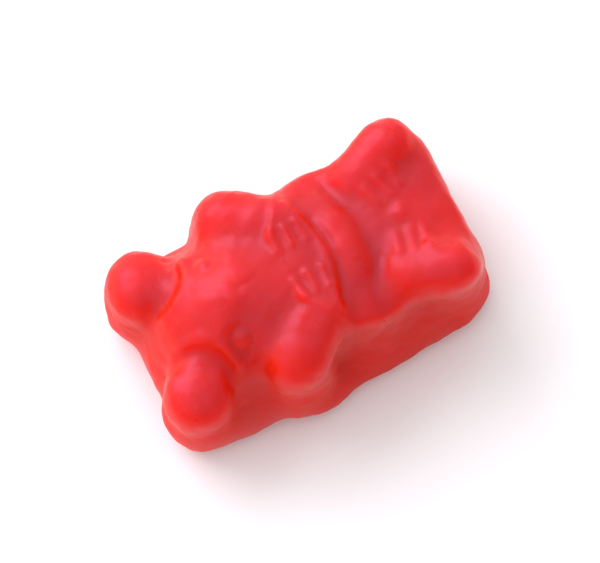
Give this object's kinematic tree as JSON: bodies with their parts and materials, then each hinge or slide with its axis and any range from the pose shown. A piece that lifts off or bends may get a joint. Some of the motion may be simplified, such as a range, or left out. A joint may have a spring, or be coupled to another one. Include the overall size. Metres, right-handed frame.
{
  "type": "gummy bear",
  "caption": "Red fruit jelly bear sweet with round ears, a snout, arms and legs in soft relief on a flat back, moulded in one piece.",
  "frame": {"origin": "under the middle of the flat back", "axes": "+Y from the feet to the ears, +Z out of the face, +X to the right of someone looking down on the face"},
  "size_m": [0.014, 0.022, 0.0098],
  "materials": {
    "red_jelly": "satin translucent"
  },
  "bodies": {
    "root": {"gummy_bear": "red_jelly"}
  },
  "joints": []
}
